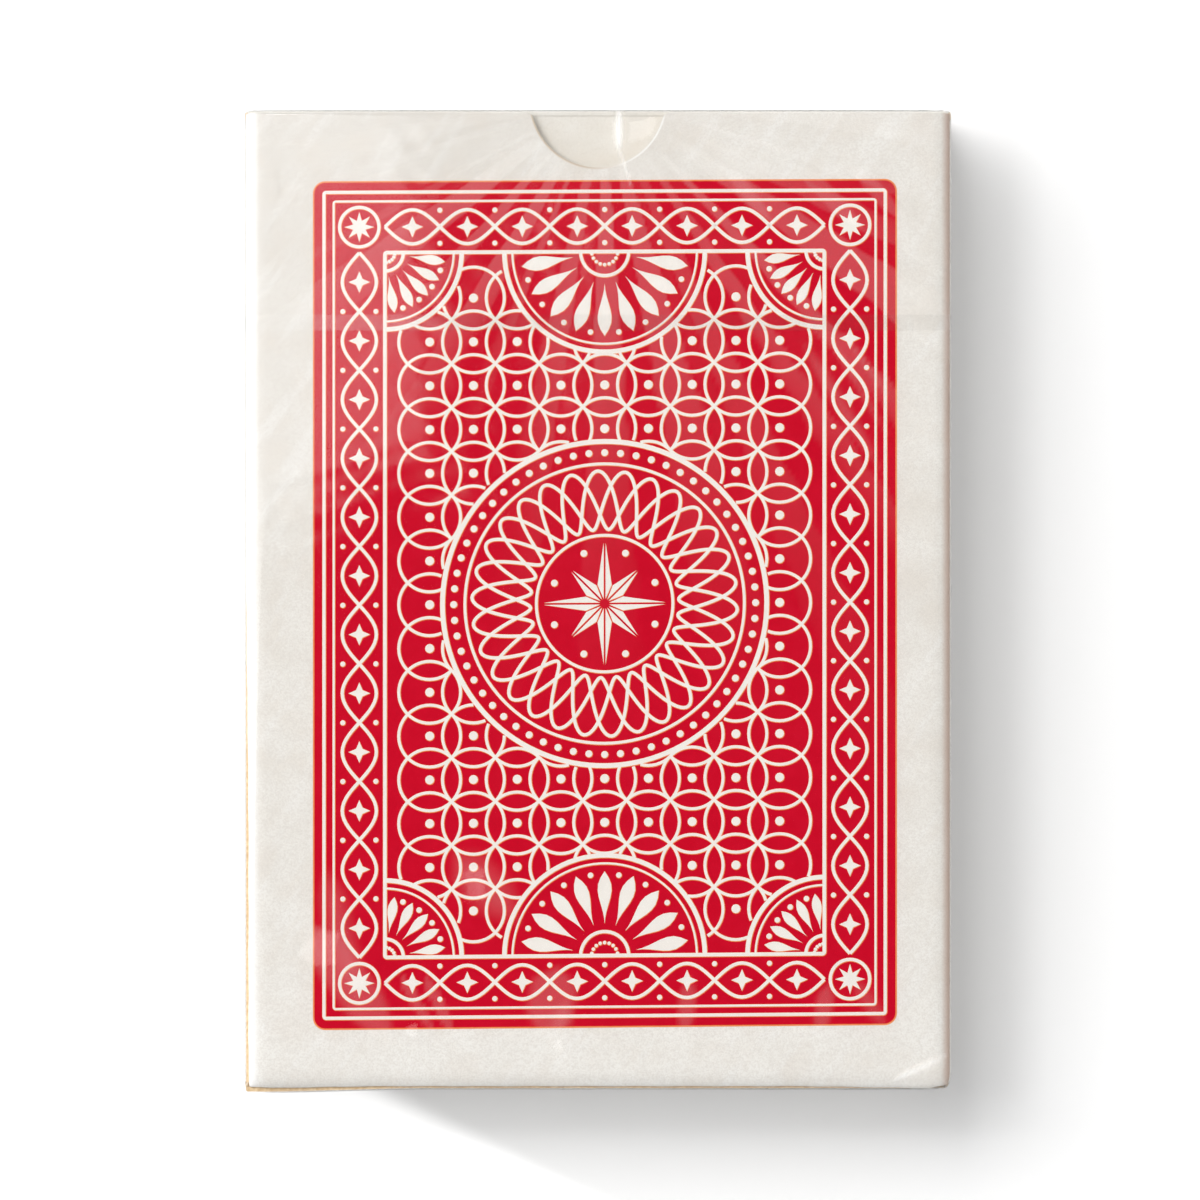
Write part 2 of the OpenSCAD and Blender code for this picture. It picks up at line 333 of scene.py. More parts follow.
start_y = inner_flap_y + soft_l
plan = [(bend, None, start_y) for bend in np.radians((88, 82, 74, 62, 50, 38, 26, 15, 7))]
plan += [(0.0, None, y) for y in np.linspace(start_y, tapered_from, 60)]
plan += [(0.0, share, 0.0) for share in np.linspace(0, 1, 19)[1:]]
points = []
for bend, share, y in plan:
    drawn = 1 - math.cos(bend) ** (2 / fullness)
    outer, panel = board_row(soft_h * drawn, 0.0, bend, share, y)
    inner, panel = board_row(board_t + (soft_h - board_t) * drawn, board_t, bend, share, y)
    points += outer.tolist() + inner[::-1].tolist()
faces, kinds = loft(0, len(plan), len(panel), lined)


def flap_run(depth):
    """The outer bottom flap's section at a depth in the board, as y and z: a flat, the fold, the upright."""
    fold_y, fold_z, bend_r = low.y + fold_r, low.z + fold_r, fold_r - depth
    bend = [(fold_y - bend_r * math.cos(a), fold_z - bend_r * math.sin(a))
            for a in np.radians(np.linspace(90, 0, 7))]
    upright = [(low.y + depth, z) for z in np.linspace(fold_z, raw_z, 16)[1:]]
    return np.concatenate(([(fold_y + 0.2, low.z + depth)], bend, upright))


across = np.linspace(low.x + 0.02, high.x - 1.7, 120)
rise, inward = flap_run(0.0), flap_run(board_t)
loop = np.concatenate((rise, inward[::-1]))
flap_faces, flap_kinds = loft(len(points), len(across), len(rise), raw, True)
faces += flap_faces
kinds += flap_kinds
for x in across:
    frayed = 0.02 * math.sin(5.1 * x) + 0.02 * math.sin(11.3 * x + 2)
    lift = np.where(loop[:, 1] > raw_z - 0.5, frayed, 0.0)
    points += [(x, y - gape(x, z) + 0.4 * f, z + f) for (y, z), f in zip(loop, lift)]

flaps = [(lap_x + soft_w, high.x - soft_w, inner_flap_y, high.z - bottom_flap_l, high.z - soft_h)]
flaps += [(low.x + 1.2, low.x + corner_flap_l, corner_flap_y, low.z + 0.7, high.z - 0.7),
          (high.x - corner_flap_l, high.x - 0.8, corner_flap_y, low.z + 0.7, high.z - 0.7)]
for x0, x1, y0, z0, z1 in flaps:
    base = len(points)
    corners = ((x0, y0), (x1, y0), (x1, y0 + board_t), (x0, y0 + board_t))
    points += [(x, y, z) for z in (z0, z1) for x, y in corners]
    for face in ((3, 2, 1, 0), (4, 5, 6, 7), (0, 1, 5, 4), (1, 2, 6, 5), (2, 3, 7, 6), (3, 0, 4, 7)):
        faces.append([base + i for i in face])
        kinds.append(lined)


def slanted(place, degrees, stretch):
    """Places on which a pattern is drawn out along a slant."""
    turned = {"Vector": place, "Rotation": (0, 0, math.radians(degrees)), "Scale": (1, stretch, 1)}
    return wire(place.id_data, "ShaderNodeMapping", turned, vector_type="TEXTURE").outputs[0]


def bare_board(name, blotch):
    """Paperboard before it gets its colours: its material, cloudy blotches, fine fibres and specks."""
    material, tree, surface, place, facing = new_finish(name, 0.6, 0.25)
    roughen(surface, grain(place, 0.09 * mm, 3.0), 0.006 * mm, 0.2)
    cloud = ramp(grain(place, blotch, 4.0), 0.32, 0.68)
    fibre = grain(place, 0.2 * mm, 3.0)
    specks = calc("MULTIPLY", ramp(fibre, 0.45, 0.75), 0.4)
    return material, tree, surface, place, facing, cloud, fibre, specks


def board_face(name, light, shade, blotch, worn_and_painted_light):
    """Paperboard of two near colours with faint rub marks."""
    material, tree, surface, place, _, cloud, _, specks = bare_board(name, blotch)
    rubs = grain(slanted(place, -38, 9), 0.9 * mm, 3.0)
    scuffs = calc("MULTIPLY", ramp(rubs, 0.52, 0.72), 0.6)
    base = tint(scuffs, tint(cloud, shade, light), light)
    tree.links.new(tint(specks, base, worn_and_painted_light), surface.inputs["Base Color"])
    return material


coat = board_face("board_coating", colour(240, 237, 231), colour(234, 230, 223), 4 * mm,
                  colour(224, 218, 209))
tree = coat.node_tree
place = tree.nodes["Texture Coordinate"].outputs["Object"]
at = wire(tree, "ShaderNodeSeparateXYZ", {0: place}).outputs
base = tree.nodes["Principled BSDF"].inputs["Base Color"]
# Painted light: the coating is drawn lighter towards the bottom end.
painted_light_bottom = ramp(at[1], -20 * mm, -45 * mm)
# Painted shade: the coating is drawn darker towards the upper left, under the film's bright veil.
painted_shade_upper_left = ramp(calc("SUBTRACT", at[1], at[0]), 20 * mm, 64 * mm)
mottle = ramp(grain(place, 3.2 * mm, 6.0), 0.42, 0.7)
streaks = ramp(grain(slanted(place, -34, 7), 1.3 * mm, 4.0), 0.5, 0.7)
tufts = ramp(grain(place, 0.5 * mm, 3.0), 0.42, 0.68)
flecks = ramp(grain(place, 0.18 * mm, 2.0), 0.42, 0.66)
# Painted highlight: the left fold, which faces the light, is drawn near white.
painted_highlight_left_fold = calc("MULTIPLY", ramp(at[0], (lap_x + 0.95) * mm, (lap_x + 0.2) * mm),
                ramp(at[2], (high.z - 1.1) * mm, (high.z - 0.7) * mm))
# Painted shade: the right fold, which faces away from the light, is drawn a dark brownish tone.
painted_shade_right_fold = calc("MULTIPLY", ramp(at[0], (high.x - 0.95) * mm, (high.x - 0.1) * mm),
              ramp(at[2], (high.z - 3) * mm, (high.z - 1) * mm))
# Painted shade and highlight: a thin ring round the notch, brownish on its left and near white on its right.
out_y = calc("SUBTRACT", at[1], (front_top + notch_lift) * mm)
out = calc("SQRT", calc("MULTIPLY_ADD", at[0], at[0], calc("MULTIPLY", out_y, out_y)))
painted_notch_rim = ramp(out, (notch_r + 0.22) * mm, (notch_r + 0.08) * mm)
cut_and_painted_rim = tint(ramp(at[0], -2 * mm, 4 * mm), colour(205, 188, 168), colour(252, 251, 248))
# Tints over the coating: mottle, streaks, tufts and flecks are the board's own; the lighter bottom, darker
# upper left, white left fold, brown right fold and notch ring are painted light and shade.
worn_and_painted_light = base.links[0].from_socket
for share, strength, shade in (
        (painted_light_bottom, 0.45, colour(248, 246, 241)), (painted_shade_upper_left, 0.6, colour(220, 215, 207)),
        (mottle, 0.26, colour(222, 211, 198)), (streaks, 0.34, colour(246, 245, 242)),
        (tufts, 0.24, colour(219, 213, 206)), (flecks, 0.46, colour(220, 214, 206)),
        (painted_highlight_left_fold, 0.55, (0.98, 0.98, 0.98, 1)), (painted_shade_right_fold, 0.85, colour(194, 164, 145)), (painted_notch_rim, 0.9, cut_and_painted_rim)):
    worn_and_painted_light = tint(calc("MULTIPLY", share, strength), worn_and_painted_light, shade)
tree.links.new(worn_and_painted_light, base)
lining = board_face("board_lining", lining_light, lining_dark, 4 * mm, colour(205, 197, 183))
core = board_face("board_core", core_light, core_dark, 0.35 * mm, colour(196, 158, 110))
carton_sheet = piece_of("carton_sheet", points, faces)
for material in (coat, lining, core):
    carton_sheet.data.materials.append(material)
carton_sheet.data.polygons.foreach_set("material_index", kinds)
carton_sheet.data.shade_smooth()
carton_sheet.data.set_sharp_from_angle(angle=math.radians(50))
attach(carton_sheet, "boxed_deck")
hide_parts("carton")

# Lid, tongue and dust flaps
# Panels of the same board, creased on the back, on the lid and on the two sides.
# Each is coated on the face that continues the outside of the carton, and cut at its free edges.


def panel_finish(name, outside, crease):
    """Board of a flat panel whose coated face looks along outside and whose crease looks along crease."""
    material, tree, surface, _, facing, cloud, fibre, specks = bare_board(name, 5 * mm)
    outward, folded = [wire(tree, "ShaderNodeVectorMath", {0: facing, 1: way}, operation="DOT_PRODUCT")
                       .outputs["Value"] for way in (outside, crease)]
    cut_and_painted_rim = calc("LESS_THAN", calc("ABSOLUTE", outward), 0.35)
    cut_and_painted_rim = calc("MULTIPLY", cut_and_painted_rim, calc("LESS_THAN", folded, 0.35))
    face = tint(cloud, colour(233, 228, 219), colour(239, 236, 229))
    behind = calc("LESS_THAN", outward, -0.35)
    face = tint(behind, face, tint(cloud, lining_dark, lining_light))
    face = tint(specks, face, colour(222, 216, 205))
    bare = tint(ramp(fibre, 0.35, 0.65), core_dark, core_light)
    tree.links.new(tint(cut_and_painted_rim, face, bare), surface.inputs["Base Color"])
    return material


for panel, outside, crease in (("lid", (0, 1, 0), (0, 0, 1)), ("tuck_tongue", (0, 0, 1), (0, 1, 0)),
                               ("dust_flap_left", (0, 1, 0), (-0.7, 0, 0.7)),
                               ("dust_flap_right", (0, 1, 0), (0.7, 0, 0.7))):
    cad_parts[panel].data.materials.clear()
    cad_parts[panel].data.materials.append(panel_finish(panel + "_board", outside, crease))

# Red ground
# A flat panel of deep red ink laid on the front by offset printing, with rounded corners.
# It sits a little right of and below the middle, and a hair out of square, as on the real print run.
ground_w = 54.62
ground_l = 79.32
ground_corner = 1.1
ground_x = 0.62
ground_y = -0.35
ground_slant = 0.0066
ground_splay = 0.000055
ink_t = 0.008
front_z = carton_high.z / mm


def on_print(points):
    """Points of the print's own plan, in millimetres, at their place on the front panel."""
    flat = np.asarray(points, float)
    slant = ground_slant - ground_splay * flat[:, 1]
    return np.stack((ground_x + flat[:, 0], ground_y + flat[:, 1] + slant * flat[:, 0]), 1)


def arc(x, y, radius, start, end, count):
    """Points along an arc, from one angle to another in degrees."""
    turn = np.radians(np.linspace(start, end, count))
    return np.stack((x + radius * np.cos(turn), y + radius * np.sin(turn)), 1)


def round_box(half_w, half_l, radius, count=5):
    """Outline of a rounded rectangle about the middle of the print."""
    corners = ((1, 1, 0), (-1, 1, 90), (-1, -1, 180), (1, -1, 270))
    return np.concatenate([arc(sx * (half_w - radius), sy * (half_l - radius), radius, a, a + 90, count)
                           for sx, sy, a in corners])


def ink_finish(name, base, worn_and_painted_light, roughness):
    """Printing ink on coated board: slightly uneven, with the board's own tooth."""
    material, tree, surface, place, _ = new_finish(name, roughness, 0.04)
    blotch = ramp(grain(place, 1.6 * mm, 4.0), 0.35, 0.7)
    fleck = ramp(grain(place, 0.16 * mm, 2.0), 0.58, 0.8)
    uneven = calc("MULTIPLY_ADD", fleck, 0.5, calc("MULTIPLY", blotch, 0.5))
    tree.links.new(tint(uneven, base, worn_and_painted_light), surface.inputs["Base Color"])
    roughen(surface, grain(place, 0.22 * mm, 3.0), 0.008 * mm, 0.25)
    return material


outline = on_print(round_box(ground_w / 2, ground_l / 2, ground_corner, 9))
count = len(outline)
ground_points = [(x, y, z) for z in (front_z, front_z + ink_t) for x, y in outline]
ground_faces = [tuple(range(count - 1, -1, -1)), tuple(range(count, 2 * count))]
ground_faces += ring_faces(2, count)
red_ground = piece_of("red_ground", ground_points, ground_faces)
red_ground.data.materials.append(ink_finish("red_ink", colour(202, 5, 38), colour(209, 13, 45), 0.5))
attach(red_ground, "boxed_deck")

# White ornament
# The line work that the red plate leaves bare, so that the coated board shows: a keyline, a border of two
# strands, fans, crossing rings and a round medallion. A yellow plate a hair out of register fringes it.
border_out = (25.4, 37.8)
border_in = (20.6, 33.0)
border_eyes = (8, 12)
strand_swing = 1.6
ring_r = 2.9
ring_pitch = ring_r * math.sqrt(2)
ring_reach = (4, 7)
medal_r = 15.2
fan_r = 9.4
corner_fan_r = 7.2
bead_ring = 1.05
wave_r, wave_swing, wave_count = 9.7, 2.75, 10
rose_r = 6.4
rose_tips = (5.7, 4.3)
rose_dots = 5.1
usual_line = 0.3
fringe = 0.09
fringe_shift = (0.03, -0.03)
strokes, fills = [], []


def stroke(points, weight, closed=False):
    """A drawn line of a given width."""
    strokes.append((np.asarray(points, float), weight, closed))


def dot(x, y, radius, count=12):
    """A solid round dot."""
    fills.append((arc(x, y, radius, 0, 360 * (1 - 1 / count), count), (x, y)))


def circle(x, y, radius, weight, count):
    """A drawn circle."""
    stroke(arc(x, y, radius, 0, 360 * (1 - 1 / count), count), weight, True)


def star(x, y, outer, inner, points):
    """A solid star."""
    turn = np.pi / 2 + np.arange(2 * points) * np.pi / points
    far = np.where(np.arange(2 * points) % 2, inner, outer)
    fills.append((np.stack((x + far * np.cos(turn), y + far * np.sin(turn)), 1), (x, y)))


def polar(x, y, radius, angle):
    """The place at a distance and an angle, in degrees, from x, y."""
    return x + radius * math.cos(math.radians(angle)), y + radius * math.sin(math.radians(angle))


def solid(plan, x, y, angle):
    """A solid shape from its plan, turned by an angle in degrees and moved to x, y."""
    c, s = polar(0, 0, 1, angle)
    turned = np.stack((x + c * plan[:, 0] - s * plan[:, 1], y + s * plan[:, 0] + c * plan[:, 1]), 1)
    fills.append((turned, turned.mean(0)))


def petal(x, y, angle, near, far, half_w):
    """A solid petal that points away from x, y and is widest two thirds of the way out."""
    t = np.linspace(0, 1, 9)
    swell = half_w * np.sin(np.pi * t ** 1.7)
    along = near + (far - near) * t
    solid(np.concatenate((np.stack((along, swell), 1), np.stack((along, -swell), 1)[-2:0:-1])), x, y, angle)


def fan(x, y, radius, start, end, petals):
    """A fan of petals under a double arch."""
    stroke(arc(x, y, radius, start, end, 40), 0.42)
    stroke(arc(x, y, radius - 0.75, start, end, 40), 0.18)
    stroke(arc(x, y, 0.24 * radius, start, end, 20), 0.3)
    step = (end - start) / petals
    for k in range(petals):
        angle = start + (k + 0.5) * step
        petal(x, y, angle, 0.32 * radius, radius - 1.5, 0.2 * math.radians(step) * radius)
        dot(*polar(x, y, 0.13 * radius, angle), 0.17, 8)
    for k in range(1, petals):
        dot(*polar(x, y, radius - 1.75, start + k * step), 0.26, 10)


stroke(round_box(ground_w / 2 - 1.0, ground_l / 2 - 1.0, 0.2), 0.3, True)
stroke(round_box(*border_out, 0.2), 0.2, True)
stroke(round_box(*border_in, 0.2), 0.34, True)
band = [(o + i) / 2 for o, i in zip(border_out, border_in)]
for axis in (0, 1):
    eyes = border_eyes[axis]
    run = np.linspace(-border_in[axis], border_in[axis], 14 * eyes + 1)
    swing = strand_swing * np.sin(np.linspace(0, eyes * np.pi, len(run)))
    for side in (1, -1):
        for way in (1, -1):
            offset = side * band[1 - axis] + way * swing
            stroke(np.stack((run, offset) if axis == 0 else (offset, run), 1), 0.3)
        for k in range(eyes + 1):
            at = border_in[axis] * (2 * k / eyes - 1)
            for way in (1, -1):
                spot = (at, side * band[1 - axis] + way * 1.55)
                if 0 < k < eyes:
                    dot(*(spot if axis == 0 else spot[::-1]), 0.24, 10)
            middle = (at + border_in[axis] / eyes, side * band[1 - axis])
            if k < eyes:
                star(*(middle if axis == 0 else middle[::-1]), 1.0, 0.42, 4)
hubs = [(0, 0, medal_r), (0, border_in[1], fan_r), (0, -border_in[1], fan_r)]
for sx, sy, start in ((1, 1, 180), (1, -1, 90), (-1, 1, 270), (-1, -1, 0)):
    circle(sx * band[0], sy * band[1], 1.85, 0.3, 36)
    star(sx * band[0], sy * band[1], 1.4, 0.62, 8)
    fan(sx * border_in[0], sy * border_in[1], corner_fan_r, start, start + 90, 5)
    hubs.append((sx * border_in[0], sy * border_in[1], corner_fan_r))
for side, start in ((1, 180), (-1, 0)):
    fan(0, side * border_in[1], fan_r, start, start + 180, 9)


def clear_of_hubs(points, room):
    """Which points lie outside the medallion and the fans."""
    return np.all([np.hypot(points[:, 0] - x, points[:, 1] - y) > r + room for x, y, r in hubs], 0)


for i in range(-ring_reach[0], ring_reach[0] + 1):
    for j in range(-ring_reach[1], ring_reach[1] + 1):
        ring = arc(i * ring_pitch, j * ring_pitch, ring_r, 0, 360, 49)
        free = clear_of_hubs(ring, 0.1)
        if free.all():
            stroke(ring[:-1], 0.27, True)
        else:
            first = int(np.argmin(free))
            ring, free = np.roll(ring[:-1], -first, 0), np.roll(free[:-1], -first)
            runs = np.split(np.arange(len(free)), np.flatnonzero(np.diff(free.astype(int))) + 1)
            for run in runs:
                if free[run[0]] and len(run) > 2:
                    stroke(ring[run], 0.27)
        if clear_of_hubs(np.array([(i * ring_pitch, j * ring_pitch)]), 0.6)[0]:
            dot(i * ring_pitch, j * ring_pitch, 0.42)

circle(0, 0, medal_r, 0.45, 128)
circle(0, 0, medal_r - 2.1, 0.26, 128)
for k in range(60):
    dot(*polar(0, 0, medal_r - bead_ring, 6 * k), 0.33, 10)
turn = np.linspace(0, 2 * np.pi, 360, endpoint=False)
for strand in range(3):
    wave = wave_r + wave_swing * np.sin(wave_count * turn + strand * 2 * np.pi / 3)
    stroke(np.stack((wave * np.cos(turn), wave * np.sin(turn)), 1), 0.3, True)
circle(0, 0, rose_r, 0.26, 96)
for k in range(8):
    for side in (1, -1):
        kite = [(0.45, 0.09 * side), (rose_tips[k % 2], 0.09 * side), (1.75, 0.66 * side)]
        solid(np.array(kite[::side]), 0, 0, 45 * k)
    dot(*polar(0, 0, rose_dots, 45 * k + 22.5), 0.32)

sweep = bpy.data.node_groups.new("printed_line", "GeometryNodeTree")
for name, kind in (("Plan", "Geometry"), ("Extra width", "Float"), ("Ink depth", "Float"),
                   ("Level", "Float"), ("Ink", "Material")):
    sweep.interface.new_socket(name, in_out="INPUT", socket_type="NodeSocket" + kind)
sweep.interface.new_socket("Print", in_out="OUTPUT", socket_type="NodeSocketGeometry")
given = sweep.nodes.new("NodeGroupInput").outputs
is_solid, weight = [wire(sweep, "GeometryNodeInputNamedAttribute", {"Name": name}, data_type=kind)
                    .outputs["Attribute"] for name, kind in (("solid", "BOOLEAN"), ("weight", "FLOAT"))]
parted = wire(sweep, "GeometryNodeSeparateGeometry", {0: given["Plan"], 1: is_solid}, domain="POINT").outputs
line_paths = wire(sweep, "GeometryNodeMeshToCurve", {0: parted["Inverted"]}).outputs[0]
nib_depth = calc("DIVIDE", given["Ink depth"], usual_line)
line_paths = wire(sweep, "GeometryNodeSetCurveNormal", {0: line_paths}, mode="Z_UP").outputs[0]
nib = wire(sweep, "GeometryNodeCurvePrimitiveQuadrilateral", {"Width": mm, "Height": nib_depth})
width = calc("ADD", weight, given["Extra width"])
drawn = wire(sweep, "GeometryNodeCurveToMesh", {"Curve": line_paths, "Profile Curve": nib.outputs[0],
                                                "Scale": width, "Fill Caps": True}).outputs[0]
solid_paths = wire(sweep, "GeometryNodeMeshToCurve", {0: parted["Selection"]}).outputs[0]
bottom = wire(sweep, "GeometryNodeFillCurve", {0: solid_paths}).outputs[0]
lifted = wire(sweep, "ShaderNodeCombineXYZ", {2: given["Level"]}).outputs[0]
bottom = wire(sweep, "GeometryNodeSetPosition", {0: bottom, "Offset": lifted}).outputs[0]
raised = wire(sweep, "GeometryNodeExtrudeMesh", {0: bottom, "Offset Scale": given["Ink depth"],
                                                 "Individual": False}).outputs[0]
under = wire(sweep, "GeometryNodeFlipFaces", {0: bottom}).outputs[0]
whole = sweep.nodes.new("GeometryNodeJoinGeometry")
for part in (drawn, raised, under):
    sweep.links.new(part, whole.inputs[0])
realized = wire(sweep, "GeometryNodeRealizeInstances", {0: whole.outputs[0]}).outputs[0]
coated = wire(sweep, "GeometryNodeSetMaterial", {0: realized, "Material": given["Ink"]}).outputs[0]
sweep.links.new(coated, sweep.nodes.new("NodeGroupOutput").inputs[0])


def made_mesh(maker):
    """The result of an object's modifiers as its plain mesh."""
    evaluated = maker.evaluated_get(bpy.context.evaluated_depsgraph_get())
    mesh = bpy.data.meshes.new_from_object(evaluated)
    maker.modifiers.clear()
    maker.data = mesh
    return maker


def printed(name, extra, height, shift, ink, edging=()):
    """All the line work as one thin layer of print, with its lines wider by extra, in millimetres."""
    points, edges, solids, weights = [], [], [], []
    layers, layer_step = 23, ink_t / 46
    plans = [(plan, weight, closed, False) for plan, weight, closed in [*strokes, *edging]]
    for plan, middle in fills:
        out = plan - np.asarray(middle)
        far = np.linalg.norm(out, axis=1, keepdims=True)
        plans.append((plan + out / np.maximum(far, 1e-6) * extra / 2, 0.0, True, True))
    for k, (plan, weight, closed, is_solid) in enumerate(plans):
        start, count = len(points), len(plan)
        level = height + layer_step * (k % layers)
        points += [(x + shift[0], y + shift[1], level) for x, y in on_print(plan)]
        edges += [(start + i, start + (i + 1) % count) for i in range(count if closed else count - 1)]
        solids += [is_solid] * count
        weights += [weight] * count
    made = piece_of(name, points, [], edges)
    made.data.attributes.new("solid", "BOOLEAN", "POINT").data.foreach_set("value", solids)
    made.data.attributes.new("weight", "FLOAT", "POINT").data.foreach_set("value", weights)
    grown = made.modifiers.new("print", "NODES")
    grown.node_group = sweep
    settings = {"Extra width": extra, "Ink depth": ink_t * mm, "Ink": ink,
                "Level": (height - ink_t / 2) * mm}
    for item in sweep.interface.items_tree:
        if item.name in settings:
            grown[item.identifier] = settings[item.name]
    made_mesh(made)
    made.data.shade_flat()
    made.data.materials.clear()
    made.data.materials.append(ink)
    made.data.polygons.foreach_set("material_index", [0] * len(made.data.polygons))
    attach(made, "boxed_deck")


printed("yellow_fringe", fringe, front_z + ink_t, fringe_shift,
        ink_finish("yellow_ink", colour(238, 140, 84), colour(244, 162, 104), 0.5),
        [(round_box(ground_w / 2, ground_l / 2, ground_corner, 9), 0.05, True)])
printed("white_ornament", 0.0, front_z + 2 * ink_t, (0, 0),
        ink_finish("bare_coating", colour(243, 239, 232), colour(238, 233, 225), 0.5))

# Clear film
# Thin film drawn round the carton, lapped along the back, its ends folded like an envelope and heat-sealed.
# Tension wrinkles fan out of the thumb notch. The tear line parts it into a cap and a sleeve.
film_t = 0.02
cap_low, cap_high = [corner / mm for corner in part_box("film_cap")]
_, sleeve_high = [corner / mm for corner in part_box("film_sleeve")]
film_end = high.y + 0.06
film_corner = 0.89
film_soft = (2.0, 1.0)
film_flat = cap_high.x - film_soft[0]
top_bend = (0.5, 0.4)
bottom_bend = (1.7, 0.9)
strip_w = 1.5
strip_t = 0.02
strip_step = 0.004
notch_y = front_top + notch_lift
pucker = (0.6, 47.6)
film_left_share = 0.25
film_dip = 0.08
notch_sag = 0.15
draws = np.random.default_rng(11)

facet_turns = [-89.0]
while facet_turns[-1] < 89.0:
    facet_turns.append(facet_turns[-1] + draws.uniform(2.2, 8.0))
facet_turns = np.array(facet_turns)
facets = len(facet_turns)
facet_tilts = draws.uniform(0.002, 0.008, facets - 1) * np.where(np.arange(facets - 1) % 2, 1, -1)
facet_lines = np.concatenate(([0.0], np.cumsum(facet_tilts * np.radians(np.diff(facet_turns)))))
facet_lines = facet_lines - np.polyval(np.polyfit(facet_turns, facet_lines, 5), facet_turns)
facet_runs = draws.uniform(10, 26, facets) * (1 + 1.3 * np.exp(-((facet_turns - 52) / 22) ** 2))
swells, ripples = [[(2 * np.pi / draws.uniform(*lengths), draws.uniform(0, 2 * np.pi),
                     draws.uniform(0, 2 * np.pi), draws.uniform(*heights)) for k in range(8)]
                   for lengths, heights in (((16, 42), (0.003, 0.008)), ((1.6, 4.5), (0.0003, 0.0008)))]
blisters = [(4.0, 33.0, 13.0, 0.04), (-10.5, -30.0, 4.4, 0.27), (-25.0, -36.0, 4.6, 0.33),
            (-17.0, -42.0, 2.4, 0.2), (24.5, -38.0, 3.0, 0.22), (-3.0, -43.5, 2.4, 0.2),
            (29.5, 3.0, 3.0, 0.12)]
creases = [((1.9, 46.8), (2.05, 41.7), 0.7, 0.02)]
# Painted reflection: white streaks on the fan's facets that tilt one way, fainter on the others, stand in
# for light that the film mirrors.
facet_painted_sheen = np.where(facet_tilts < 0, draws.uniform(0.018, 0.06, facets - 1),
                      draws.uniform(0.0, 0.008, facets - 1))
haze_level = 0.0006
# Painted reflections: white glint lines and veil patches along short lines of the film, each with its ends,
# half width and strength.
painted_glints = [((1.95, 46.2), (2.0, 41.5), 0.45, 0.5), ((2.0, 42.4), (3.2, 38.4), 0.22, 0.2),
          ((27.4, -45.2), (33.3, -42.4), 0.42, 0.3), ((19.0, 24.5), (27.2, 11.0), 0.8, 0.035),
          ((21.5, 25.0), (27.4, 15.0), 0.5, 0.03), ((23.5, 24.5), (27.6, 18.5), 0.4, 0.03),
          ((-13.6, -23.6), (-7.0, -30.6), 2.4, 0.035), ((-25.6, -25.0), (-22.4, -38.6), 1.7, 0.03),
          ((24.0, -35.6), (27.2, -40.4), 1.0, 0.03), ((-3.0, -37.4), (-4.2, -43.6), 1.3, 0.03)]
painted_veils = [((-27.0, -30.5), (-18.8, -42.2), 2.2, 1.0), ((-18.6, -35.0), (-15.2, -41.0), 0.55, 1.0),
         ((-16.2, -35.2), (-13.4, -41.2), 0.6, 1.0), ((-3.8, -34.5), (-5.0, -41.4), 2.5, 1.0),
         ((8.6, -35.5), (8.0, -41.2), 1.0, 0.6), ((21.6, -36.0), (20.6, -41.2), 1.0, 0.6),
         ((18.6, 41.0), (25.2, 34.2), 0.9, 1.0), ((24.2, 40.6), (28.6, 35.4), 0.8, 1.0),
         ((11.6, 41.2), (16.6, 35.0), 0.7, 0.8)]
painted_veil_level = 0.03


def waves(x, y, parts):
    """A sum of long waves, each with its own direction."""
    return sum(size * np.sin(rate * (x * np.cos(way) + y * np.sin(way)) + phase)
               for rate, way, phase, size in parts)


def ridges(x, y, lines):
    """Tent-shaped rises along short lines, each with its half width and height: sharp folds of the film, and
    painted glint and veil marks.
    """
    total = 0.0
    for (x0, y0), (x1, y1), wide, height in lines:
        run = np.hypot(x1 - x0, y1 - y0)
        along = ((x - x0) * (x1 - x0) + (y - y0) * (y1 - y0)) / run
        off = ((x - x0) * (y1 - y0) - (y - y0) * (x1 - x0)) / run
        ends = eased(along, -0.1 * run, 0.25 * run) * eased(along, 1.1 * run, 0.6 * run)
        total = total + height * ends * np.maximum(1 - np.abs(off) / (wide * np.maximum(ends, 0.05)), 0)
    return total


def film_rise(x, y):
    """How far the film over the front stands off its mean level, in millimetres."""
    across, down = x - pucker[0], pucker[1] - y
    far = np.hypot(across, down)
    angle = np.degrees(np.arctan2(across, down))
    fanned = far * np.interp(angle, facet_turns, facet_lines)
    fading = np.maximum(far - 9, 0) / np.interp(angle, facet_turns, facet_runs)
    rise = fanned * eased(far, 3, 9) * np.exp(-fading ** 2)
    rise = rise + waves(x, y, swells) + waves(x, y, ripples)
    for spot_x, spot_y, wide, height in blisters:
        rise = rise + height * np.exp(-((x - spot_x) ** 2 + (y - spot_y) ** 2) / wide ** 2)
    rise = np.maximum(rise, -film_dip)
    rise = rise + ridges(x, y, creases)
    rise = rise - notch_sag * eased(np.hypot(x, y - notch_y), notch_r + 0.3, notch_r - 3.5)
    strip_end = cap_low.y + strip_w
    strip = eased(y, cap_low.y - 0.1, cap_low.y + 0.25) * eased(y, strip_end + 0.1, strip_end - 0.25)
    return rise + strip_step * strip


